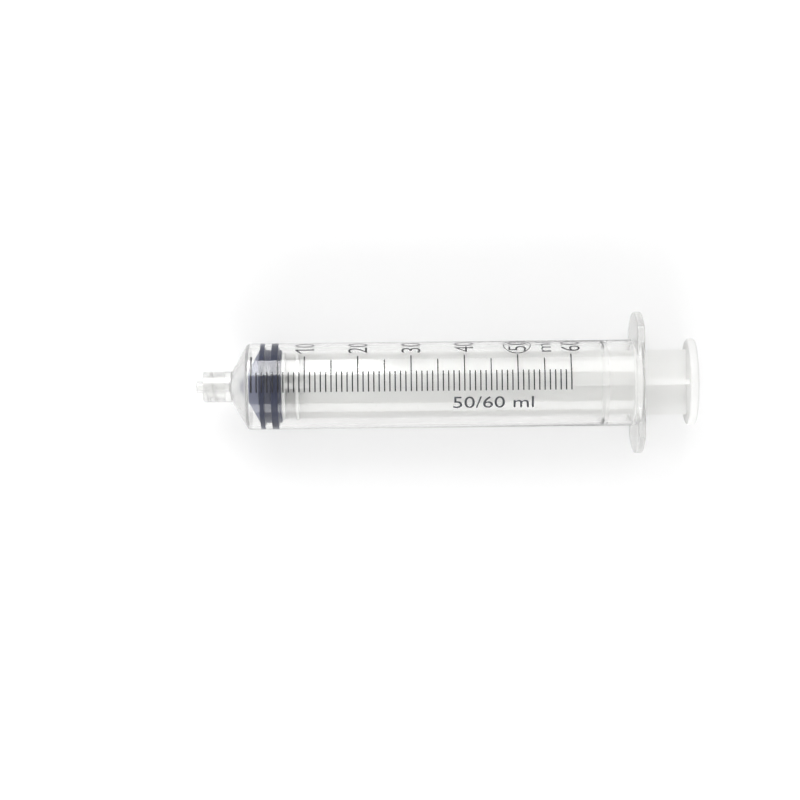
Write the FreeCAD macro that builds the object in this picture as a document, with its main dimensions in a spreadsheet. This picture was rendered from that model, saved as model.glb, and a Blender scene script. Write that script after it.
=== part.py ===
import FreeCAD, Part
import math
import os
import Sketcher

# A three-piece syringe with a locking nozzle, lying on the flats of its finger flange.
# Every body is drawn about the syringe's own axis: x runs from the nozzle to the thumb rest,
# with x = 0 at the zero line of the scale. One placement then sets all bodies down, so that
# the part's origin is under the middle of its length, on the surface it lies on.

# Driving sizes in millimetres and degrees. The plunger is drawn where it was packed.
SIZES = [
    ("bore_diameter", 26.7),
    ("barrel_wall", 1.3),
    ("bore_lead", 1.0),
    ("cone_angle", 60),
    ("shoulder_round", 2.5),
    ("last_line_to_ring", 10.84),
    ("last_line_to_flange", 21.84),
    ("flange_thickness", 2.7),
    ("flange_span", 48),
    ("flat_margin", 0.85),
    ("flange_round", 0.7),
    ("flange_root_round", 0.8),
    ("mouth_chamfer", 0.8),
    ("stop_ring_height", 0.35),
    ("stop_ring_width", 1.6),
    ("stop_ring_slope", 0.5),
    ("collar_reach", 6.7),
    ("collar_diameter", 10.4),
    ("collar_bore", 8.1),
    ("collar_depth", 7.4),
    ("collar_edge_round", 0.35),
    ("thread_height", 0.5),
    ("thread_root_width", 1.1),
    ("thread_crest_width", 0.5),
    ("thread_pitch", 5),
    ("thread_turns", 0.75),
    ("thread_inset", 0.6),
    ("thread_starts", 2),
    ("collar_root_round", 0.8),
    ("tip_reach", 2.4),
    ("tip_diameter", 3.97),
    ("tip_edge_round", 0.25),
    ("taper_rate", 0.06),
    ("lumen_diameter", 2.2),
    ("cut_margin", 1),
    ("packed_travel", 2.75),
    ("rib_clearance", 0.04),
    ("front_rib_width", 1.35),
    ("rib_gap", 2.45),
    ("rear_rib_width", 2.25),
    ("rib_height", 1.3),
    ("rib_lip_bevel", 0.3),
    ("skirt_length", 1.0),
    ("nose_shoulder", 0.37),
    ("nose_blunt_diameter", 2.4),
    ("nose_round", 1.2),
    ("head_play", 0.08),
    ("head_wall", 3.75),
    ("head_diameter", 16),
    ("head_tip_diameter", 6),
    ("neck_diameter", 11),
    ("neck_length", 2.4),
    ("disc_gap", 0.15),
    ("disc_diameter", 22.8),
    ("disc_thickness", 1.2),
    ("disc_spacing", 4.75),
    ("disc_bevel", 0.25),
    ("wing_setback", 0.4),
    ("wing_thickness", 1.8),
    ("thumb_gap", 15.25),
    ("thumb_diameter", 29.5),
    ("thumb_thickness", 2.85),
    ("thumb_edge_round", 0.9),
    ("thumb_dish_diameter", 23),
    ("thumb_dish_depth", 0.5),
    ("capacity", 60),
    ("short_step", 1),
    ("middle_step", 5),
    ("long_step", 10),
    ("line_width", 0.43),
    ("zero_line_width", 0.6),
    ("ink_thickness", 0.03),
    ("line_start_angle", 8.5),
    ("short_line_angle", 18.5),
    ("middle_line_angle", 35.6),
    ("long_line_angle", 42),
]

# Sizes that follow from the driving ones. Those that end in _x are places along the axis.
PLACES = [
    ("bore_radius", "Sizes.bore_diameter / 2"),
    ("outer_radius", "bore_radius + Sizes.barrel_wall"),
    ("millilitre", "1000 / (pi * bore_radius * bore_radius)"),
    ("last_line_x", "millilitre * Sizes.capacity"),
    ("cone_rise", "tan(Sizes.cone_angle)"),
    ("inner_apex_x", "-Sizes.bore_lead - bore_radius / cone_rise"),
    ("outer_apex_x", "inner_apex_x - Sizes.barrel_wall / sin(Sizes.cone_angle)"),
    ("shoulder_x", "outer_apex_x + outer_radius / cone_rise"),
    ("collar_radius", "Sizes.collar_diameter / 2"),
    ("collar_bore_radius", "Sizes.collar_bore / 2"),
    ("thread_crest_radius", "collar_bore_radius - Sizes.thread_height"),
    ("thread_root_radius", "(collar_bore_radius + collar_radius) / 2"),
    ("collar_root_x", "outer_apex_x + collar_radius / cone_rise"),
    ("collar_face_x", "outer_apex_x - Sizes.collar_reach"),
    ("collar_floor_x", "collar_face_x + Sizes.collar_depth"),
    ("tip_x", "collar_face_x - Sizes.tip_reach"),
    ("tip_radius", "Sizes.tip_diameter / 2"),
    ("taper_face_radius", "tip_radius + Sizes.taper_rate / 2 * Sizes.tip_reach"),
    ("taper_floor_radius", "taper_face_radius + Sizes.taper_rate / 2 * Sizes.collar_depth"),
    ("lumen_radius", "Sizes.lumen_diameter / 2"),
    ("lumen_end_x", "inner_apex_x + lumen_radius / cone_rise"),
    ("flange_front_x", "last_line_x + Sizes.last_line_to_flange"),
    ("flange_rear_x", "flange_front_x + Sizes.flange_thickness"),
    ("flange_radius", "Sizes.flange_span / 2"),
    ("axis_height", "outer_radius + Sizes.flat_margin"),
    ("flange_root_radius", "outer_radius + Sizes.flange_root_round / 2"),
    ("stop_ring_radius", "bore_radius - Sizes.stop_ring_height"),
    ("stop_ring_x", "last_line_x + Sizes.last_line_to_ring"),
    ("stop_ring_rear_x", "stop_ring_x + Sizes.stop_ring_width"),
    ("rib_radius", "bore_radius - Sizes.rib_clearance"),
    ("groove_radius", "rib_radius - Sizes.rib_height"),
    ("front_rib_x", "Sizes.packed_travel"),
    ("rib_gap_x", "front_rib_x + Sizes.front_rib_width"),
    ("rear_rib_x", "rib_gap_x + Sizes.rib_gap"),
    ("skirt_x", "rear_rib_x + Sizes.rear_rib_width"),
    ("stopper_rear_x", "skirt_x + Sizes.skirt_length"),
    ("nose_base_x", "front_rib_x - Sizes.nose_shoulder"),
    ("nose_apex_x", "nose_base_x - groove_radius / cone_rise"),
    ("nose_blunt_radius", "Sizes.nose_blunt_diameter / 2"),
    ("nose_blunt_x", "nose_apex_x + nose_blunt_radius / cone_rise"),
    ("head_radius", "Sizes.head_diameter / 2"),
    ("head_tip_radius", "Sizes.head_tip_diameter / 2"),
    ("neck_radius", "Sizes.neck_diameter / 2"),
    ("head_apex_x", "nose_apex_x + Sizes.head_wall / sin(Sizes.cone_angle)"),
    ("head_tip_x", "head_apex_x + head_tip_radius / cone_rise"),
    ("head_edge_x", "head_apex_x + head_radius / cone_rise"),
    ("neck_x", "stopper_rear_x - Sizes.neck_length"),
    ("disc_x", "stopper_rear_x + Sizes.disc_gap"),
    ("disc_rear_x", "disc_x + Sizes.disc_thickness"),
    ("second_disc_x", "disc_x + Sizes.disc_spacing"),
    ("second_disc_rear_x", "second_disc_x + Sizes.disc_thickness"),
    ("disc_radius", "Sizes.disc_diameter / 2"),
    ("disc_face_radius", "disc_radius - Sizes.disc_bevel"),
    ("wing_reach", "disc_radius - Sizes.wing_setback"),
    ("thumb_x", "flange_rear_x + Sizes.thumb_gap"),
    ("thumb_rear_x", "thumb_x + Sizes.thumb_thickness"),
    ("thumb_radius", "Sizes.thumb_diameter / 2"),
    ("dish_radius", "Sizes.thumb_dish_diameter / 2"),
    ("dish_floor_radius", "dish_radius - Sizes.thumb_dish_depth"),
    ("middle_x", "(tip_x + thumb_rear_x) / 2"),
]


def fill_sheet(doc, name, rows):
    """A spreadsheet with one named cell on each row."""
    sheet = doc.addObject("Spreadsheet::Sheet", name)
    for number, (alias, content) in enumerate(rows, start=1):
        cell = f"B{number}"
        sheet.set(f"A{number}", alias)
        sheet.setAlias(cell, alias)
        sheet.set(cell, content)
    doc.recompute()
    return sheet


def new_body(doc, name):
    """An empty body, set down with the others by the one placement that they share."""
    body = doc.addObject("PartDesign::Body", name)
    body.Label = name
    body.setExpression("Placement.Base.x", "-Places.middle_x")
    body.setExpression("Placement.Base.z", "Places.axis_height")
    return body


def origin_feature(body, role):
    """The body's own origin plane or axis that plays this role."""
    return next(item for item in body.Origin.OriginFeatures if item.Role == role)


def new_sketch(body, name, plane, offset_x=None):
    """A sketch on one of the body's origin planes, moved along the axis if a place is given."""
    sketch = body.newObject("Sketcher::SketchObject", name)
    sketch.AttachmentSupport = [(origin_feature(body, plane), "")]
    sketch.MapMode = "FlatFace"
    if offset_x:
        sketch.setExpression("AttachmentOffset.Base.z", offset_x)
    return sketch


def place_point(sketch, line, number, value, direction):
    """Hold the start of a line at a value read from the sheets, along one sketch axis."""
    axis = -1 if direction == "DistanceY" else -2
    if value == "0":
        sketch.addConstraint(Sketcher.Constraint("PointOnObject", line, 1, axis))
        return
    distance = sketch.evalExpression(value)
    index = sketch.addConstraint(Sketcher.Constraint(direction, line, 1, distance))
    label = f"{direction[-1].lower()}{number}"
    sketch.renameConstraint(index, label)
    sketch.setExpression(f"Constraints.{label}", value)


def draw_outline(sketch, corners):
    """A closed outline of straight lines. Each corner is a pair of places in the sheets."""
    points = [
        FreeCAD.Vector(sketch.evalExpression(first), sketch.evalExpression(second), 0)
        for first, second in corners
    ]
    lines = []
    for start, end in zip(points, points[1:] + points[:1]):
        lines.append(sketch.addGeometry(Part.LineSegment(start, end)))
    for line, following in zip(lines, lines[1:] + lines[:1]):
        sketch.addConstraint(Sketcher.Constraint("Coincident", line, 2, following, 1))
    for number, (line, (first, second)) in enumerate(zip(lines, corners), start=1):
        place_point(sketch, line, number, first, "DistanceX")
        place_point(sketch, line, number, second, "DistanceY")


def revolve(body, name, corners, kind="Revolution"):
    """Turn an outline of (place along the axis, radius) pairs round the axis."""
    sketch = new_sketch(body, f"{name}_sketch", "XZ_Plane")
    draw_outline(sketch, corners)
    feature = body.newObject(f"PartDesign::{kind}", name)
    feature.Profile = sketch
    feature.ReferenceAxis = (sketch, ["H_Axis"])
    feature.Angle = 360
    body.Document.recompute()
    return feature


def circles(feature, place, radius):
    """Names of the feature's round edges of this radius at this place along the axis."""
    found = []
    for number, edge in enumerate(feature.Shape.Edges, start=1):
        curve = edge.Curve
        if not isinstance(curve, Part.Circle):
            continue
        if math.isclose(curve.Radius, radius, abs_tol=0.01) and math.isclose(
            curve.Center.x, place, abs_tol=0.01
        ):
            found.append(f"Edge{number}")
    return found


def round_edges(body, name, edges, radius, kind="Fillet"):
    """Round or chamfer the named edges of the body's last feature by a size in the sheet."""
    if not edges:
        raise ValueError(f"{name}: no edge found")
    base = body.Tip
    feature = body.newObject(f"PartDesign::{kind}", name)
    feature.Base = (base, edges)
    feature.setExpression("Radius" if kind == "Fillet" else "Size", radius)
    body.Document.recompute()
    return feature


def flange_outline(sketch):
    """A circle cut by two flats, so that the syringe can't roll."""
    radius = sketch.evalExpression("Places.flange_radius")
    height = sketch.evalExpression("Places.axis_height")
    reach = math.sqrt(radius**2 - height**2)
    tilt = math.atan2(height, reach)
    centre = FreeCAD.Vector(0, 0, 0)
    circle = Part.Circle(centre, FreeCAD.Vector(0, 0, 1), radius)
    right = sketch.addGeometry(Part.ArcOfCircle(circle, -tilt, tilt))
    left = sketch.addGeometry(Part.ArcOfCircle(circle, math.pi - tilt, math.pi + tilt))
    corner = FreeCAD.Vector(reach, height, 0)
    opposite = FreeCAD.Vector(-reach, height, 0)
    top = sketch.addGeometry(Part.LineSegment(corner, opposite))
    bottom = sketch.addGeometry(Part.LineSegment(-corner, -opposite))
    for arc in (right, left):
        sketch.addConstraint(Sketcher.Constraint("Coincident", arc, 3, -1, 1))
    sketch.addConstraint(Sketcher.Constraint("Coincident", right, 2, top, 1))
    sketch.addConstraint(Sketcher.Constraint("Coincident", top, 2, left, 1))
    sketch.addConstraint(Sketcher.Constraint("Coincident", left, 2, bottom, 1))
    sketch.addConstraint(Sketcher.Constraint("Coincident", bottom, 2, right, 1))
    sketch.addConstraint(Sketcher.Constraint("Horizontal", top))
    sketch.addConstraint(Sketcher.Constraint("Horizontal", bottom))
    span = sketch.addConstraint(Sketcher.Constraint("Radius", right, radius))
    upper = sketch.addConstraint(Sketcher.Constraint("DistanceY", -1, 1, top, 1, height))
    lower = sketch.addConstraint(Sketcher.Constraint("DistanceY", bottom, 1, -1, 1, height))
    for index, label, value in (
        (span, "span", "Places.flange_radius"),
        (upper, "upper", "Places.axis_height"),
        (lower, "lower", "Places.axis_height"),
    ):
        sketch.renameConstraint(index, label)
        sketch.setExpression(f"Constraints.{label}", value)


def flange_edges(feature, places):
    """The outer edges of the flange's two faces."""
    clear_of_barrel = places.flange_root_radius
    found = []
    for number, edge in enumerate(feature.Shape.Edges, start=1):
        box = edge.BoundBox
        on_front = math.isclose(box.Center.x, places.flange_front_x, abs_tol=0.01)
        on_rear = math.isclose(box.Center.x, places.flange_rear_x, abs_tol=0.01)
        middle = edge.valueAt((edge.FirstParameter + edge.LastParameter) / 2)
        if (on_front or on_rear) and math.hypot(middle.y, middle.z) > clear_of_barrel:
            found.append(f"Edge{number}")
    return found


def raise_thread(body):
    """The locking collar's inner ridges: equal helical starts spread round the axis."""
    root = "Places.collar_face_x + Sizes.thread_inset"
    slope = "(Sizes.thread_root_width - Sizes.thread_crest_width) / 2"
    sketch = new_sketch(body, "thread_sketch", "XZ_Plane")
    draw_outline(sketch, [
        (root, "Places.thread_root_radius"),
        (f"{root} + Sizes.thread_root_width", "Places.thread_root_radius"),
        (f"{root} + Sizes.thread_root_width - {slope}", "Places.thread_crest_radius"),
        (f"{root} + {slope}", "Places.thread_crest_radius"),
    ])
    ridge = body.newObject("PartDesign::AdditiveHelix", "thread")
    ridge.Profile = sketch
    ridge.ReferenceAxis = (sketch, ["H_Axis"])
    ridge.Mode = "pitch-turns-angle"
    ridge.setExpression("Pitch", "Sizes.thread_pitch")
    ridge.setExpression("Turns", "Sizes.thread_turns")
    body.Document.recompute()
    starts = body.newObject("PartDesign::PolarPattern", "thread_starts")
    starts.Originals = [ridge]
    starts.Axis = (sketch, ["H_Axis"])
    starts.Angle = 360
    starts.setExpression("Occurrences", "Sizes.thread_starts")
    body.Tip = starts
    body.Document.recompute()


def make_barrel(doc, places):
    """One moulding: tube, cone, nozzle with its locking collar, and finger flange."""
    body = new_body(doc, "barrel")
    revolve(body, "outside", [
        ("Places.tip_x", "0"),
        ("Places.tip_x", "Places.tip_radius"),
        ("Places.collar_face_x", "Places.taper_face_radius"),
        ("Places.collar_face_x", "Places.collar_radius"),
        ("Places.collar_root_x", "Places.collar_radius"),
        ("Places.shoulder_x", "Places.outer_radius"),
        ("Places.flange_rear_x", "Places.outer_radius"),
        ("Places.flange_rear_x", "0"),
    ])
    outline = new_sketch(body, "flange_sketch", "YZ_Plane", "Places.flange_front_x")
    flange_outline(outline)
    flange = body.newObject("PartDesign::Pad", "flange")
    flange.Profile = outline
    flange.setExpression("Length", "Sizes.flange_thickness")
    doc.recompute()
    round_edges(
        body, "shoulder", circles(flange, places.shoulder_x, places.outer_radius),
        "Sizes.shoulder_round",
    )
    round_edges(
        body, "nozzle_root", circles(body.Tip, places.collar_root_x, places.collar_radius),
        "Sizes.collar_root_round",
    )
    round_edges(
        body, "flange_root", circles(body.Tip, places.flange_front_x, places.outer_radius),
        "Sizes.flange_root_round",
    )
    round_edges(body, "flange_rim", flange_edges(body.Tip, places), "Sizes.flange_round")
    round_edges(
        body, "tip_edge", circles(body.Tip, places.tip_x, places.tip_radius),
        "Sizes.tip_edge_round",
    )
    revolve(body, "bore", [
        ("Places.tip_x - Sizes.cut_margin", "0"),
        ("Places.tip_x - Sizes.cut_margin", "Places.lumen_radius"),
        ("Places.lumen_end_x", "Places.lumen_radius"),
        ("-Sizes.bore_lead", "Places.bore_radius"),
        ("Places.stop_ring_x", "Places.bore_radius"),
        ("Places.stop_ring_x + Sizes.stop_ring_slope", "Places.stop_ring_radius"),
        ("Places.stop_ring_rear_x - Sizes.stop_ring_slope", "Places.stop_ring_radius"),
        ("Places.stop_ring_rear_x", "Places.bore_radius"),
        ("Places.flange_rear_x - Sizes.mouth_chamfer", "Places.bore_radius"),
        ("Places.flange_rear_x", "Places.bore_radius + Sizes.mouth_chamfer"),
        ("Places.flange_rear_x + Sizes.cut_margin", "Places.bore_radius + Sizes.mouth_chamfer"),
        ("Places.flange_rear_x + Sizes.cut_margin", "0"),
    ], "Groove")
    revolve(body, "lock_cavity", [
        ("Places.collar_face_x", "Places.taper_face_radius"),
        ("Places.collar_floor_x", "Places.taper_floor_radius"),
        ("Places.collar_floor_x", "Places.collar_bore_radius"),
        ("Places.collar_face_x", "Places.collar_bore_radius"),
    ], "Groove")
    collar_edges = circles(body.Tip, places.collar_face_x, places.collar_radius)
    collar_edges += circles(body.Tip, places.collar_face_x, places.collar_bore_radius)
    round_edges(body, "collar_edge", collar_edges, "Sizes.collar_edge_round")
    raise_thread(body)
    return body


def make_stopper(doc, places):
    """Rubber: a cone, two sealing ribs and a pocket that grips the rod's head."""
    body = new_body(doc, "stopper")
    revolve(body, "outside_stopper", [
        ("Places.nose_blunt_x", "0"),
        ("Places.nose_blunt_x", "Places.nose_blunt_radius"),
        ("Places.nose_base_x", "Places.groove_radius"),
        ("Places.front_rib_x", "Places.groove_radius"),
        ("Places.front_rib_x", "Places.rib_radius"),
        ("Places.rib_gap_x", "Places.rib_radius"),
        ("Places.rib_gap_x", "Places.groove_radius"),
        ("Places.rear_rib_x", "Places.groove_radius"),
        ("Places.rear_rib_x", "Places.rib_radius"),
        ("Places.skirt_x", "Places.rib_radius"),
        ("Places.skirt_x", "Places.groove_radius"),
        ("Places.stopper_rear_x", "Places.groove_radius"),
        ("Places.stopper_rear_x", "0"),
    ])
    lips = []
    for place in (places.front_rib_x, places.rib_gap_x, places.rear_rib_x, places.skirt_x):
        lips += circles(body.Tip, place, places.rib_radius)
    round_edges(body, "rib_lips", lips, "Sizes.rib_lip_bevel", "Chamfer")
    nose = circles(body.Tip, places.nose_blunt_x, places.nose_blunt_radius)
    round_edges(body, "nose", nose, "Sizes.nose_round")
    revolve(body, "head_pocket", [
        ("Places.head_tip_x - Sizes.head_play", "0"),
        ("Places.head_tip_x - Sizes.head_play", "Places.head_tip_radius + Sizes.head_play"),
        ("Places.head_edge_x - Sizes.head_play", "Places.head_radius + Sizes.head_play"),
        ("Places.neck_x + Sizes.head_play", "Places.head_radius + Sizes.head_play"),
        ("Places.neck_x + Sizes.head_play", "Places.neck_radius + Sizes.head_play"),
        ("Places.stopper_rear_x + Sizes.cut_margin", "Places.neck_radius + Sizes.head_play"),
        ("Places.stopper_rear_x + Sizes.cut_margin", "0"),
    ], "Groove")
    return body


def cross_outline(sketch):
    """A plus sign of two equal bars."""
    half = "Sizes.wing_thickness / 2"
    reach = "Places.wing_reach"
    draw_outline(sketch, [
        (reach, f"-{half}"),
        (reach, half),
        (half, half),
        (half, reach),
        (f"-{half}", reach),
        (f"-{half}", half),
        (f"-{reach}", half),
        (f"-{reach}", f"-{half}"),
        (f"-{half}", f"-{half}"),
        (f"-{half}", f"-{reach}"),
        (half, f"-{reach}"),
        (half, f"-{half}"),
    ])


def disc_profile(front, rear):
    """The bevelled rim of one of the rod's discs, from its front face to its rear face."""
    return [
        (front, "Places.disc_face_radius"),
        (f"{front} + Sizes.disc_bevel", "Places.disc_radius"),
        (f"{rear} - Sizes.disc_bevel", "Places.disc_radius"),
        (rear, "Places.disc_face_radius"),
    ]


def make_rod(doc, places):
    """One moulding: four wings, two discs, the head that holds the stopper and the thumb rest."""
    body = new_body(doc, "plunger_rod")
    cross = new_sketch(body, "wings_sketch", "YZ_Plane", "Places.disc_x")
    cross_outline(cross)
    wings = body.newObject("PartDesign::Pad", "wings")
    wings.Profile = cross
    wings.setExpression("Length", "Places.thumb_x - Places.disc_x")
    doc.recompute()
    revolve(body, "head", [
        ("Places.head_tip_x", "0"),
        ("Places.head_tip_x", "Places.head_tip_radius"),
        ("Places.head_edge_x", "Places.head_radius"),
        ("Places.neck_x", "Places.head_radius"),
        ("Places.neck_x", "Places.neck_radius"),
        ("Places.disc_x", "Places.neck_radius"),
        *disc_profile("Places.disc_x", "Places.disc_rear_x"),
        ("Places.disc_rear_x", "0"),
    ])
    revolve(body, "second_disc", [
        ("Places.second_disc_x", "0"),
        *disc_profile("Places.second_disc_x", "Places.second_disc_rear_x"),
        ("Places.second_disc_rear_x", "0"),
    ])
    revolve(body, "thumb_rest", [
        ("Places.thumb_x", "0"),
        ("Places.thumb_x", "Places.thumb_radius"),
        ("Places.thumb_rear_x", "Places.thumb_radius"),
        ("Places.thumb_rear_x", "Places.dish_radius"),
        ("Places.thumb_rear_x - Sizes.thumb_dish_depth", "Places.dish_floor_radius"),
        ("Places.thumb_rear_x - Sizes.thumb_dish_depth", "0"),
    ])
    rims = circles(body.Tip, places.thumb_x, places.thumb_radius)
    rims += circles(body.Tip, places.thumb_rear_x, places.thumb_radius)
    round_edges(body, "thumb_rim", rims, "Sizes.thumb_edge_round")
    return body


def scale_lines(body, name, width, end_angle, step):
    """Printed lines of one length, repeated along the barrel at this step in millilitres."""
    sketch = new_sketch(body, f"{name}_sketch", "XZ_Plane")
    sketch.AttachmentOffset = FreeCAD.Placement(
        FreeCAD.Vector(0, 0, 0), FreeCAD.Rotation(FreeCAD.Vector(1, 0, 0), 1)
    )
    sketch.setExpression("AttachmentOffset.Rotation.Angle", "Sizes.line_start_angle")
    draw_outline(sketch, [
        (f"-{width} / 2", "Places.outer_radius"),
        (f"{width} / 2", "Places.outer_radius"),
        (f"{width} / 2", "Places.outer_radius + Sizes.ink_thickness"),
        (f"-{width} / 2", "Places.outer_radius + Sizes.ink_thickness"),
    ])
    line = body.newObject("PartDesign::Revolution", name)
    line.Profile = sketch
    line.ReferenceAxis = (sketch, ["H_Axis"])
    line.Reversed = True
    line.setExpression("Angle", f"Sizes.line_start_angle + {end_angle}")
    body.Document.recompute()
    if step:
        pattern = body.newObject("PartDesign::LinearPattern", f"{name}_row")
        pattern.Originals = [line]
        pattern.Direction = (origin_feature(body, "X_Axis"), [""])
        pattern.Mode = "Spacing"
        pattern.setExpression("Offset", f"Places.millilitre * {step}")
        pattern.setExpression("Occurrences", f"floor(Sizes.capacity / {step}) + 1")
        body.Tip = pattern
        body.Document.recompute()


def make_scale(doc):
    """The printed scale: one line for each millilitre, longer at every fifth and tenth."""
    body = new_body(doc, "scale_print")
    body.AllowCompound = True
    scale_lines(body, "short_lines", "Sizes.line_width", "Sizes.short_line_angle", "Sizes.short_step")
    scale_lines(body, "middle_lines", "Sizes.line_width", "Sizes.middle_line_angle", "Sizes.middle_step")
    scale_lines(body, "long_lines", "Sizes.line_width", "Sizes.long_line_angle", "Sizes.long_step")
    scale_lines(body, "zero_line", "Sizes.zero_line_width", "Sizes.long_line_angle", None)
    return body


def check_document(doc, bodies):
    """Stop if any object failed or any body has no sound shape."""
    for item in doc.Objects:
        for fault in ("Invalid", "Error"):
            if fault in item.State:
                raise RuntimeError(f"{item.Name} is in state {fault}")
    for body in bodies:
        if body.Shape.isNull() or not body.Shape.isValid():
            raise RuntimeError(f"{body.Label} has no sound shape")


def main():
    doc = FreeCAD.newDocument("syringe")
    fill_sheet(doc, "Sizes", [(alias, str(value)) for alias, value in SIZES])
    places = fill_sheet(doc, "Places", [(alias, f"={formula}") for alias, formula in PLACES])
    bodies = [
        make_barrel(doc, places),
        make_stopper(doc, places),
        make_rod(doc, places),
        make_scale(doc),
    ]
    doc.recompute()
    check_document(doc, bodies)
    os.makedirs("parts", exist_ok=True)
    for body in bodies:
        shape = body.Shape
        shape.exportStep(f"parts/{body.Label}.step")
        print(f"{body.Label}: {len(shape.Solids)} solids, {shape.Volume:.2f} cubic mm")


main()
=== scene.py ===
import math

import bmesh
import bpy
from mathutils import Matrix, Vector


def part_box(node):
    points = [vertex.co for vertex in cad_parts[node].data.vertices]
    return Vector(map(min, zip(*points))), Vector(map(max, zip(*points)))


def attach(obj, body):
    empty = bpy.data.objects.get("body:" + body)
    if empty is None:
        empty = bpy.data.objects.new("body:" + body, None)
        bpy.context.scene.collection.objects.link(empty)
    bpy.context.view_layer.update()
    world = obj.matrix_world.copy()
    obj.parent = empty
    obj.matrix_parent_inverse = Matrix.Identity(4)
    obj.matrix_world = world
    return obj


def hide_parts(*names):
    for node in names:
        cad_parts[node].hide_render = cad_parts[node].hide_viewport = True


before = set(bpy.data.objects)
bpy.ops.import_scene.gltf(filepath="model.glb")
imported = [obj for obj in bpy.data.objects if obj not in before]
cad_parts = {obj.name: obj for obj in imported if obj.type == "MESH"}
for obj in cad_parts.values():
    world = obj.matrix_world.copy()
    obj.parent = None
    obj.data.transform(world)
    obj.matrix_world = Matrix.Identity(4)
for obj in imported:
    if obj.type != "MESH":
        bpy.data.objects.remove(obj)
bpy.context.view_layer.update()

# The looks of a clear syringe. The barrel and the rubber stopper are turned afresh with finer
# faces, figures are printed beside the scale, and soft lamps stand round a white floor.
# Sizes are in millimetres and angles in degrees. Floor, lamps and camera are in metres.
# Along the syringe, x is measured from the zero line of the scale towards the thumb rest.
# A turn round the syringe's axis is measured from straight up towards +Y.
MM = 0.001
TINY = 1e-6

# Sizes that the frame doesn't give. First the printed scale and its figures.
CAPACITY = 60
LINE_WIDTH = 0.43
ZERO_LINE_WIDTH = 0.6
INK_THICKNESS = 0.03
INK_GAP = 0.004
STROKE_THINNING = 0.01
BEND_STEP = 0.8
FIGURE_HEIGHT = 6.4
FIGURE_WIDTH = 6.8
FIGURE_TURN = 47.4
RING_RADIUS = 4.7
RING_WIDTH = 0.32

# The nozzle, its collar and the thread in the collar, whose ridge has corners of (x, radius).
LUMEN_RADIUS = 1.1
TIP_RADIUS = 1.985
TIP_ROUND = 0.25
TIP_REACH = 2.4
TAPER_RISE = 0.03
COLLAR_RADIUS = 5.2
COLLAR_BORE = 4.05
COLLAR_DEPTH = 7.4
COLLAR_EDGE_ROUND = 0.35
COLLAR_ROOT_ROUND = 0.8
THREAD_STARTS = 2
THREAD_TURNS = 0.75
THREAD_PITCH = 5
THREAD_RIDGE = [(0.6, 4.2), (1.7, 4.2), (1.4, 3.55), (0.9, 3.55)]

# The cone, the flange and the ring inside the barrel that stops the stopper.
CONE_ANGLE = 60
CONE_END_ROUND = 0.3
BORE_LEAD = 1
SHOULDER_ROUND = 1.6
FLANGE_THICKNESS = 2.7
FLANGE_ROUND = 0.7
FLANGE_ROOT_ROUND = 0.8
FLANGE_MARGIN = 0.01
MOUTH_CHAMFER = 0.8
MOUTH_ROUND = 0.2
STOP_RING_TO_FLANGE = 10.2
STOP_RING_SLOPE = 1.2
STOP_RING_HEIGHT = 0.3
STOP_RING_ROUND = 0.5
SLIGHT_ROUND = 0.1

# The stopper. Its pocket, where the rod's head sits, has places of (x, radius).
NOSE_RADIUS = 1.2
NOSE_ROUND = 0.9
CONE_BASE_X = 2.4
FRONT_RIB = (2.7, 4.3)
REAR_RIB = (6.55, 8.9)
RIB_PRESS = 0.02
RIB_ROUND = 0.12
GROOVE_RADIUS = 12.4
GROOVE_ROUND = 0.4
SKIRT_ROUND = 0.3
POCKET_NECK = (7.48, 5.58)
POCKET_EDGE = (4.31, 8.08)
POCKET_END = (1.43, 3.08)

# Where the finishes change.
NOZZLE_END_X = -7.3
CONE_END_X = -0.2
FLANGE_HAZE = 1
STOP_RING_HAZE = 2.5
HAZE_DEPTH = 0.05
# From this radius out, the stopper gets the darker rubber of painted shade.
PAINTED_SHADE_FROM_RADIUS = 11.8

# How finely round forms are drawn, and from which angle on an edge is sharp.
BARREL_STEPS = 192
ROUNDING_STEPS = 6
THREAD_STEPS = 72
RING_STEPS = 72
SHARP_ANGLE = 32

# Places and sizes read from the frame.
barrel_low, barrel_high = (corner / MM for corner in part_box("barrel"))
scale_low, scale_high = (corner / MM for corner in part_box("scale_print"))
stopper_low, stopper_high = (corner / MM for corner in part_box("stopper"))
axis_height = (barrel_low.z + barrel_high.z) / 2
zero_x = scale_low.x + ZERO_LINE_WIDTH / 2
millilitre = (scale_high.x - LINE_WIDTH / 2 - zero_x) / CAPACITY
bore_radius = math.sqrt(1000 / (math.pi * millilitre))
outer_radius = scale_high.z - axis_height - INK_THICKNESS
flange_radius = barrel_high.y
tip_x = barrel_low.x - zero_x
flange_rear_x = barrel_high.x - zero_x
nose_x = stopper_low.x - zero_x
skirt_x = stopper_high.x - zero_x

# Places that follow from them.
cone_rise = math.tan(math.radians(CONE_ANGLE))
wall = outer_radius - bore_radius
inner_apex_x = -BORE_LEAD - bore_radius / cone_rise
outer_apex_x = inner_apex_x - wall / math.sin(math.radians(CONE_ANGLE))
lumen_end_x = inner_apex_x + LUMEN_RADIUS / cone_rise
collar_root_x = outer_apex_x + COLLAR_RADIUS / cone_rise
shoulder_x = outer_apex_x + outer_radius / cone_rise
collar_x = tip_x + TIP_REACH
collar_floor_x = collar_x + COLLAR_DEPTH
collar_floor_radius = TIP_RADIUS + TAPER_RISE * (TIP_REACH + COLLAR_DEPTH)
flange_x = flange_rear_x - FLANGE_THICKNESS
stop_ring_x = flange_x - STOP_RING_TO_FLANGE
rib_radius = bore_radius + RIB_PRESS


def set_inputs(tree, node, inputs):
    """Give each input a constant, or link it to another node's output."""
    for socket, value in inputs.items():
        if isinstance(value, bpy.types.NodeSocket):
            tree.links.new(value, node.inputs[socket])
        else:
            node.inputs[socket].default_value = value


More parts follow.
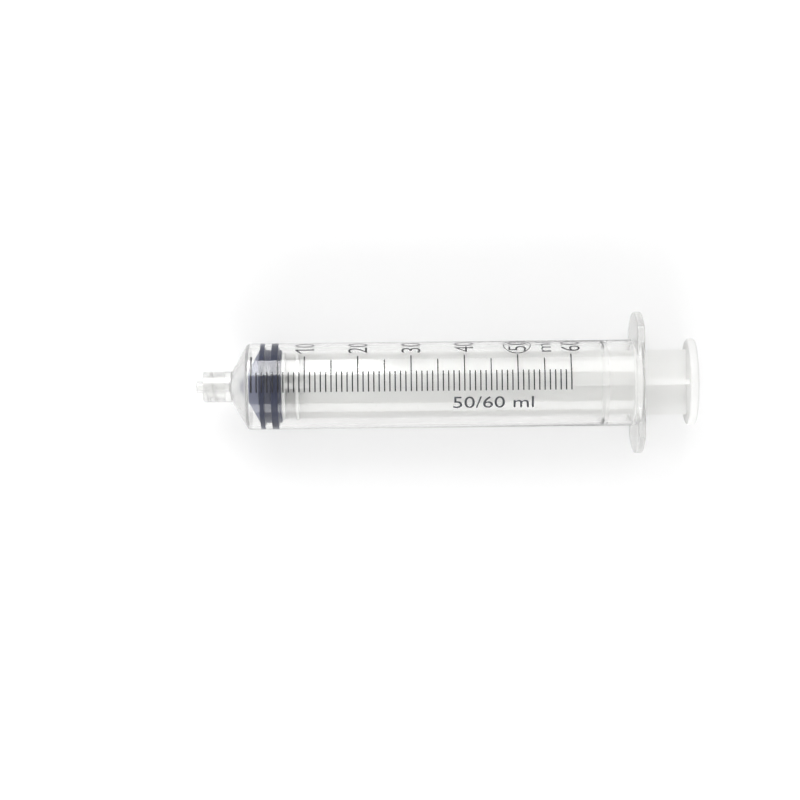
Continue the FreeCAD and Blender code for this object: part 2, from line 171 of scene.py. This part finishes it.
def add_node(tree, kind, inputs, **settings):
    """A shader node of this kind, with its inputs and settings."""
    node = tree.nodes.new(kind)
    for setting, value in settings.items():
        setattr(node, setting, value)
    set_inputs(tree, node, inputs)
    return node


def material(name, tones, grain, roughness, bump, shader_values):
    """Moulded surface: two close tones in a fine cloud, uneven polish and a faint ripple."""
    made = bpy.data.materials.new(name)
    made.use_nodes = True
    tree = made.node_tree
    place = add_node(tree, "ShaderNodeTexCoord", {}).outputs["Object"]
    cloud = add_node(tree, "ShaderNodeTexNoise", {"Vector": place, "Scale": grain, "Detail": 4})
    colour = add_node(tree, "ShaderNodeValToRGB", {"Fac": cloud.outputs["Fac"]})
    for stop, position, tone in zip(colour.color_ramp.elements, (0.35, 0.65), tones):
        stop.position = position
        stop.color = (*tone, 1)
    polish = add_node(tree, "ShaderNodeMapRange", {
        "Value": cloud.outputs["Fac"], "To Min": roughness[0], "To Max": roughness[1],
    })
    ripple = add_node(tree, "ShaderNodeTexNoise", {"Vector": place, "Scale": grain * 3, "Detail": 2})
    relief = add_node(tree, "ShaderNodeBump", {
        "Height": ripple.outputs["Fac"], "Strength": bump[0], "Distance": bump[1] * MM,
    })
    set_inputs(tree, tree.nodes["Principled BSDF"], {
        "Base Color": colour.outputs["Color"],
        "Roughness": polish.outputs["Result"],
        "Normal": relief.outputs["Normal"],
        **shader_values,
    })
    return made


# The wall is clear, and the thicker the moulding, the milkier it looks.
clear_plastic = material(
    "clear_plastic", [(0.98, 0.98, 0.975), (0.995, 0.995, 0.99)], 60, (0.05, 0.09), (0.01, 0.01),
    {"Transmission Weight": 1.0, "IOR": 1.49},
)
milky_plastic = material(
    "milky_plastic", [(0.95, 0.95, 0.94), (0.98, 0.98, 0.97)], 60, (0.16, 0.24), (0.05, 0.05),
    {"Transmission Weight": 0.75, "IOR": 1.49},
)
hazy_plastic = material(
    "hazy_plastic", [(0.975, 0.975, 0.968), (0.992, 0.992, 0.985)], 60, (0.14, 0.2), (0.03, 0.03),
    {"Transmission Weight": 0.88, "IOR": 1.49},
)
rubber = material(
    "slate_rubber", [(0.145, 0.158, 0.245), (0.17, 0.184, 0.275)], 90, (0.42, 0.55), (0.15, 0.1),
    {"Specular IOR Level": 0.3},
)
# Painted shade: a much darker, bluer copy of the slate rubber, for where the ribs touch the bore and
# for the shaded grooves.
painted_shade_rubber = material(
    "painted_shade_rubber", [(0.014, 0.019, 0.054), (0.02, 0.026, 0.066)], 90, (0.42, 0.55), (0.15, 0.1),
    {"Specular IOR Level": 0.3},
)
rod_plastic = material(
    "translucent_white_plastic",
    [(0.93, 0.93, 0.92), (0.96, 0.96, 0.95)], 50, (0.42, 0.52), (0.08, 0.1),
    {"Transmission Weight": 0.25, "IOR": 1.49, "Specular IOR Level": 0.35},
)
black_ink = material(
    "black_ink", [(0.025, 0.025, 0.028), (0.045, 0.045, 0.05)], 900, (0.1, 0.16), (0.03, 0.01),
    {"Specular IOR Level": 0.5},
)
grey_ink = material(
    "grey_ink", [(0.05, 0.052, 0.06), (0.075, 0.078, 0.088)], 900, (0.1, 0.16), (0.03, 0.01),
    {"Specular IOR Level": 0.5},
)

for node, finish in (("plunger_rod", rod_plastic), ("scale_print", black_ink)):
    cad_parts[node].material_slots[0].material = finish


def around_axis(x, radius, turn):
    """The place in the scene at this x, radius and turn, which is in radians."""
    y, z = radius * math.sin(turn), axis_height + radius * math.cos(turn)
    return (zero_x + x) * MM, y * MM, z * MM


def skin(work, rings, closed):
    """Faces from each ring of points to the next. If closed, the last ring meets the first."""
    for ring, following in zip(rings, rings[1:] + rings[:1] if closed else rings[1:]):
        for step in range(max(len(ring), len(following))):
            here, there = step % len(ring), step % len(following)
            after, beyond = (step + 1) % len(ring), (step + 1) % len(following)
            corners = dict.fromkeys((ring[here], ring[after], following[beyond], following[there]))
            if len(corners) > 2:
                work.faces.new(tuple(corners))


def add_piece(name, work, finish, body, smooth=True):
    """Turn the work into a piece that rides on a body of the frame."""
    mesh = bpy.data.meshes.new(name)
    work.to_mesh(mesh)
    work.free()
    if smooth:
        mesh.polygons.foreach_set("use_smooth", [True] * len(mesh.polygons))
        mesh.set_sharp_from_angle(angle=math.radians(SHARP_ANGLE))
    mesh.materials.append(finish)
    piece = bpy.data.objects.new(name, mesh)
    bpy.context.scene.collection.objects.link(piece)
    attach(piece, body)
    return piece


def set_finishes(piece, finishes, choose):
    """Add finishes, and give each face the one whose number choose names for its x and radius."""
    for finish in finishes:
        piece.data.materials.append(finish)
    for face in piece.data.polygons:
        x, y, z = face.center / MM
        face.material_index = choose(x - zero_x, math.hypot(y, z - axis_height))


def rounded(corners):
    """Outline points of (x, radius, rounding) corners, each rounded by an arc of short lines."""
    points = []
    for index, (x, radius, rounding) in enumerate(corners):
        here = Vector((x, radius))
        if not rounding:
            points.append(here)
            continue
        before = (Vector(corners[index - 1][:2]) - here).normalized()
        after = (Vector(corners[(index + 1) % len(corners)][:2]) - here).normalized()
        half = before.angle(after) / 2
        centre = here + (before + after).normalized() * rounding / math.sin(half)
        first = (here + before * rounding / math.tan(half) - centre).normalized()
        last = (here + after * rounding / math.tan(half) - centre).normalized()
        points += [
            centre + rounding * first.slerp(last, step / ROUNDING_STEPS)
            for step in range(ROUNDING_STEPS + 1)
        ]
    return points


def lathe(corners, reach=None):
    """A closed outline of (x, radius, rounding) corners, turned into one solid.

    reach gives the true radius for a radius and a turn, where the solid isn't round."""
    work = bmesh.new()
    turns = [math.tau * step / BARREL_STEPS for step in range(BARREL_STEPS)]
    rings = []
    for x, radius in rounded(corners):
        if radius < TINY:
            rings.append([work.verts.new(around_axis(x, 0, 0))])
            continue
        rings.append([
            work.verts.new(around_axis(x, reach(radius, turn) if reach else radius, turn))
            for turn in turns
        ])
    skin(work, rings, closed=True)
    bmesh.ops.recalc_face_normals(work, faces=work.faces)
    return work


def flange_reach(radius, turn):
    """Radius in this direction, where the flange's two flats cut its circle short."""
    if radius <= outer_radius:
        return radius
    edge = min(flange_radius, axis_height / max(abs(math.cos(turn)), TINY))
    if radius > outer_radius + FLANGE_ROOT_ROUND + FLANGE_MARGIN:
        return edge - (flange_radius - radius)
    room = min(FLANGE_ROOT_ROUND, edge - FLANGE_ROUND - outer_radius)
    return outer_radius + (radius - outer_radius) * room / FLANGE_ROOT_ROUND


def barrel_finish(x, radius):
    """0 for the clear wall, 1 for nozzle, collar and flange, 2 for the cone and the stop ring."""
    if x < NOZZLE_END_X or x > flange_x - FLANGE_HAZE:
        return 1
    at_ring = abs(x - stop_ring_x) < STOP_RING_HAZE and radius < bore_radius + HAZE_DEPTH
    return 2 if x < CONE_END_X or at_ring else 0


barrel = add_piece("clear_barrel", lathe([
    (tip_x, LUMEN_RADIUS, 0),
    (tip_x, TIP_RADIUS, TIP_ROUND),
    (collar_floor_x, collar_floor_radius, SLIGHT_ROUND),
    (collar_floor_x, COLLAR_BORE, SLIGHT_ROUND),
    (collar_x, COLLAR_BORE, COLLAR_EDGE_ROUND),
    (collar_x, COLLAR_RADIUS, COLLAR_EDGE_ROUND),
    (collar_root_x, COLLAR_RADIUS, COLLAR_ROOT_ROUND),
    (shoulder_x, outer_radius, SHOULDER_ROUND),
    (flange_x, outer_radius, FLANGE_ROOT_ROUND),
    (flange_x, flange_radius, FLANGE_ROUND),
    (flange_rear_x, flange_radius, FLANGE_ROUND),
    (flange_rear_x, bore_radius + MOUTH_CHAMFER, SLIGHT_ROUND),
    (flange_rear_x - MOUTH_CHAMFER, bore_radius, MOUTH_ROUND),
    (stop_ring_x + STOP_RING_SLOPE, bore_radius, STOP_RING_ROUND),
    (stop_ring_x, bore_radius - STOP_RING_HEIGHT, STOP_RING_ROUND),
    (stop_ring_x - STOP_RING_SLOPE, bore_radius, STOP_RING_ROUND),
    (-BORE_LEAD, bore_radius, CONE_END_ROUND),
    (lumen_end_x, LUMEN_RADIUS, CONE_END_ROUND),
], flange_reach), clear_plastic, "barrel")
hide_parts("barrel")
set_finishes(barrel, (milky_plastic, hazy_plastic), barrel_finish)

# The ridges inside the locking collar are let into its wall.
thread = bmesh.new()
for start in range(THREAD_STARTS):
    rings = []
    for step in range(THREAD_STEPS + 1):
        turned = THREAD_TURNS * step / THREAD_STEPS
        turn = -math.tau * (turned + start / THREAD_STARTS)
        lead = collar_x + THREAD_PITCH * turned
        rings.append([
            thread.verts.new(around_axis(lead + x, radius, turn)) for x, radius in THREAD_RIDGE
        ])
    skin(thread, rings, closed=False)
    thread.faces.new(rings[0])
    thread.faces.new(rings[-1][::-1])
bmesh.ops.recalc_face_normals(thread, faces=thread.faces)
add_piece("lock_thread", thread, milky_plastic, "barrel")

# The stopper's ribs are pressed against the bore, so they share its surface. The ribs, the grooves
# between them and the skirt get a darker rubber: painted shade for the dark contact with the bore
# and for the shade in the grooves.
stopper = add_piece("rubber_stopper", lathe([
    (nose_x, 0, 0),
    (nose_x, NOSE_RADIUS, NOSE_ROUND),
    (CONE_BASE_X, GROOVE_RADIUS, SLIGHT_ROUND),
    (FRONT_RIB[0], GROOVE_RADIUS, RIB_ROUND),
    (FRONT_RIB[0], rib_radius, RIB_ROUND),
    (FRONT_RIB[1], rib_radius, RIB_ROUND),
    (FRONT_RIB[1], GROOVE_RADIUS, GROOVE_ROUND),
    (REAR_RIB[0], GROOVE_RADIUS, GROOVE_ROUND),
    (REAR_RIB[0], rib_radius, RIB_ROUND),
    (REAR_RIB[1], rib_radius, RIB_ROUND),
    (REAR_RIB[1], GROOVE_RADIUS, SKIRT_ROUND),
    (skirt_x, GROOVE_RADIUS, SKIRT_ROUND),
    (skirt_x, POCKET_NECK[1], 0),
    (*POCKET_NECK, 0),
    (POCKET_NECK[0], POCKET_EDGE[1], 0),
    (*POCKET_EDGE, 0),
    (*POCKET_END, 0),
    (POCKET_END[0], 0, 0),
]), rubber, "stopper")
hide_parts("stopper")
# The outer faces of the stopper get the painted shade.
set_finishes(stopper, (painted_shade_rubber,), lambda x, radius: int(radius > PAINTED_SHADE_FROM_RADIUS))


def flat_text(text, thinning=STROKE_THINNING):
    """Generic characters of the built-in font, at its own size, as a flat, thin solid."""
    curve = bpy.data.curves.new("lettering", "FONT")
    curve.body = text
    curve.extrude = INK_THICKNESS / 2
    curve.resolution_u = 6
    curve.offset = -thinning
    flat = bpy.data.objects.new("lettering", curve)
    bpy.context.scene.collection.objects.link(flat)
    bpy.context.view_layer.update()
    mesh = bpy.data.meshes.new_from_object(flat.evaluated_get(bpy.context.evaluated_depsgraph_get()))
    work = bmesh.new()
    work.from_mesh(mesh)
    bpy.data.objects.remove(flat)
    bpy.data.curves.remove(curve)
    bpy.data.meshes.remove(mesh)
    bmesh.ops.remove_doubles(work, verts=work.verts, dist=TINY)
    return work


def flat_outline(points):
    """A thin solid from the corners of a flat figure."""
    work = bmesh.new()
    below, above = (
        [work.verts.new((x, y, side * INK_THICKNESS / 2)) for x, y in points] for side in (-1, 1)
    )
    work.faces.new(below[::-1])
    work.faces.new(above)
    skin(work, [below, above], closed=False)
    return work


def flat_ring():
    """A thin, flat ring to print round a figure."""
    work = bmesh.new()
    inner, half = RING_RADIUS - RING_WIDTH, INK_THICKNESS / 2
    turns = [math.tau * step / RING_STEPS for step in range(RING_STEPS)]
    rings = [
        [work.verts.new((radius * math.cos(turn), radius * math.sin(turn), z)) for turn in turns]
        for radius, z in ((inner, -half), (inner, half), (RING_RADIUS, half), (RING_RADIUS, -half))
    ]
    skin(work, rings, closed=True)
    bmesh.ops.recalc_face_normals(work, faces=work.faces)
    return work


def print_on_barrel(name, work, height, width, x, turn, finish=black_ink, along_axis=False):
    """Stretch a flat figure to this height and width, and bend it onto the barrel.

    It starts at this turn and reads round the barrel, with the middle of its height at x.
    One that reads along the axis starts at x."""
    left, bottom = (min(vertex.co[axis] for vertex in work.verts) for axis in (0, 1))
    right, top = (max(vertex.co[axis] for vertex in work.verts) for axis in (0, 1))
    for vertex in work.verts:
        vertex.co.x = (vertex.co.x - left) * width / (right - left)
        vertex.co.y = (vertex.co.y - bottom) * height / (top - bottom)
    bend, length = (Vector((0, 1, 0)), height) if along_axis else (Vector((1, 0, 0)), width)
    for cut in range(1, math.ceil(length / BEND_STEP)):
        parts = work.verts[:] + work.edges[:] + work.faces[:]
        bmesh.ops.bisect_plane(work, geom=parts, plane_co=bend * cut * BEND_STEP, plane_no=bend)
    for vertex in work.verts:
        across, up, depth = vertex.co
        along, sideways = (across, up) if along_axis else (height / 2 - up, across)
        radius = outer_radius + INK_THICKNESS / 2 + INK_GAP + depth
        vertex.co = around_axis(x + along, radius, math.radians(turn) + sideways / outer_radius)
    add_piece(name, work, finish, "barrel", smooth=False)


ONE = [(1.55, 0), (2.15, 0), (2.15, 6.4), (1.65, 6.4), (0, 4.7), (0, 4.0), (1.55, 5.5)]
print_on_barrel("figure_1", flat_outline(ONE), FIGURE_HEIGHT, 2.15, 10 * millilitre, 47.9)
print_on_barrel("figure_0", flat_text("0"), FIGURE_HEIGHT, 3.1, 10 * millilitre, 61.8)
for value in (20, 30, 40, 60):
    print_on_barrel(
        f"figure_{value}", flat_text(str(value)),
        FIGURE_HEIGHT, FIGURE_WIDTH, value * millilitre, FIGURE_TURN,
    )
print_on_barrel("figure_50", flat_text("50"), 6.0, FIGURE_WIDTH, 50 * millilitre, 48.6)
print_on_barrel("ring_50", flat_ring(), 2 * RING_RADIUS, 2 * RING_RADIUS, 50 * millilitre, 43.8)
print_on_barrel("figure_ml", flat_text("ml"), 4.9, 6.7, 55 * millilitre, 46.4)
print_on_barrel("capacity", flat_text("50/60 ml", 0), 4.2, 27, 67.5, -33, grey_ink, True)


def seen_rays(tree, kinds):
    """A value that is 1 for rays of these kinds, such as those that show the picture, and else 0."""
    rays = add_node(tree, "ShaderNodeLightPath", {})
    value = rays.outputs[kinds[0]]
    for kind in kinds[1:]:
        both = {0: value, 1: rays.outputs[kind]}
        value = add_node(tree, "ShaderNodeMath", both, operation="MAXIMUM").outputs["Value"]
    return value


# White where it is seen, and as a lamp a dome that is brightest near the horizon.
world = bpy.data.worlds.new("white_room")
bpy.context.scene.world = world
world.use_nodes = True
tree = world.node_tree
direction = add_node(tree, "ShaderNodeTexCoord", {})
height = add_node(tree, "ShaderNodeSeparateXYZ", {"Vector": direction.outputs["Generated"]})
dome = add_node(tree, "ShaderNodeMapRange", {
    "Value": height.outputs["Z"], "From Min": 0.45, "To Min": 0.8, "To Max": 0.55,
})
strength = add_node(tree, "ShaderNodeMath", {
    0: dome.outputs["Result"], 1: seen_rays(tree, ("Is Camera Ray", "Is Transmission Ray")),
}, operation="MAXIMUM")
set_inputs(tree, tree.nodes["Background"], {
    "Color": (1, 1, 1, 1), "Strength": strength.outputs["Value"],
})

# The floor glows where it is seen, more so away from the lamps, so it is white but for a shadow.
floor_finish = bpy.data.materials.new("white_floor")
floor_finish.use_nodes = True
tree = floor_finish.node_tree
tree.nodes.clear()
matt = add_node(tree, "ShaderNodeBsdfDiffuse", {"Color": (0.58, 0.58, 0.58, 1)})
place = add_node(tree, "ShaderNodeTexCoord", {})
distance = add_node(tree, "ShaderNodeVectorMath", {0: place.outputs["Object"]}, operation="LENGTH")
lift = add_node(tree, "ShaderNodeMapRange", {
    "Value": distance.outputs["Value"], "From Min": 0.2, "To Min": 0.4, "To Max": 0.62,
})
seen_lift = add_node(tree, "ShaderNodeMath", {
    0: lift.outputs["Result"],
    1: seen_rays(tree, ("Is Camera Ray", "Is Glossy Ray", "Is Transmission Ray")),
}, operation="MULTIPLY")
glow = add_node(tree, "ShaderNodeEmission", {"Strength": seen_lift.outputs["Value"]})
both = add_node(tree, "ShaderNodeAddShader", {0: matt.outputs["BSDF"], 1: glow.outputs["Emission"]})
add_node(tree, "ShaderNodeOutputMaterial", {"Surface": both.outputs["Shader"]})

FLOOR_REACH = 3
floor_mesh = bpy.data.meshes.new("floor")
floor_corners = [
    (x * FLOOR_REACH, y * FLOOR_REACH, 0) for x, y in ((-1, -1), (1, -1), (1, 1), (-1, 1))
]
floor_mesh.from_pydata(floor_corners, [], [(0, 1, 2, 3)])
floor_mesh.materials.append(floor_finish)
floor = bpy.data.objects.new("floor", floor_mesh)
bpy.context.scene.collection.objects.link(floor)


def softbox(name, place, target_x, size, power):
    """A rectangular lamp that points at this x of the syringe's axis."""
    lamp = bpy.data.lights.new(name, "AREA")
    lamp.shape = "RECTANGLE"
    lamp.size, lamp.size_y = size
    lamp.energy = power
    holder = bpy.data.objects.new(name, lamp)
    holder.location = place
    direction = Vector((target_x, 0, axis_height * MM)) - Vector(place)
    holder.rotation_euler = direction.to_track_quat("-Z", "Y").to_euler()
    bpy.context.scene.collection.objects.link(holder)
    return holder


softbox("key_softbox", (-0.1, 0.6, 0.6), 0, (0.8, 0.5), 3.6).visible_glossy = False
softbox("fill_softbox", (-0.1, -0.78, 0.38), 0, (0.9, 0.4), 5.1).visible_glossy = False
# These two show only as the long highlight, which has to be brighter over the dark stopper.
for name, x, width, power in (("front_card", -0.342, 0.516, 8), ("rear_card", 0.258, 0.684, 2.9)):
    card = softbox(name, (x, 0.5, 0.42), x, (width, 0.5), power)
    card.visible_diffuse = False
    card.visible_transmission = False

camera = bpy.data.cameras.new("camera")
camera.sensor_width = 36
camera.lens = 103.1
camera_holder = bpy.data.objects.new("camera", camera)
camera_holder.location = (-0.0155, -0.00509, 0.7945)
camera_holder.rotation_euler = (0, 0, math.radians(-0.62))
bpy.context.scene.collection.objects.link(camera_holder)
bpy.context.scene.camera = camera_holder
bpy.context.scene.view_settings.view_transform = "Standard"
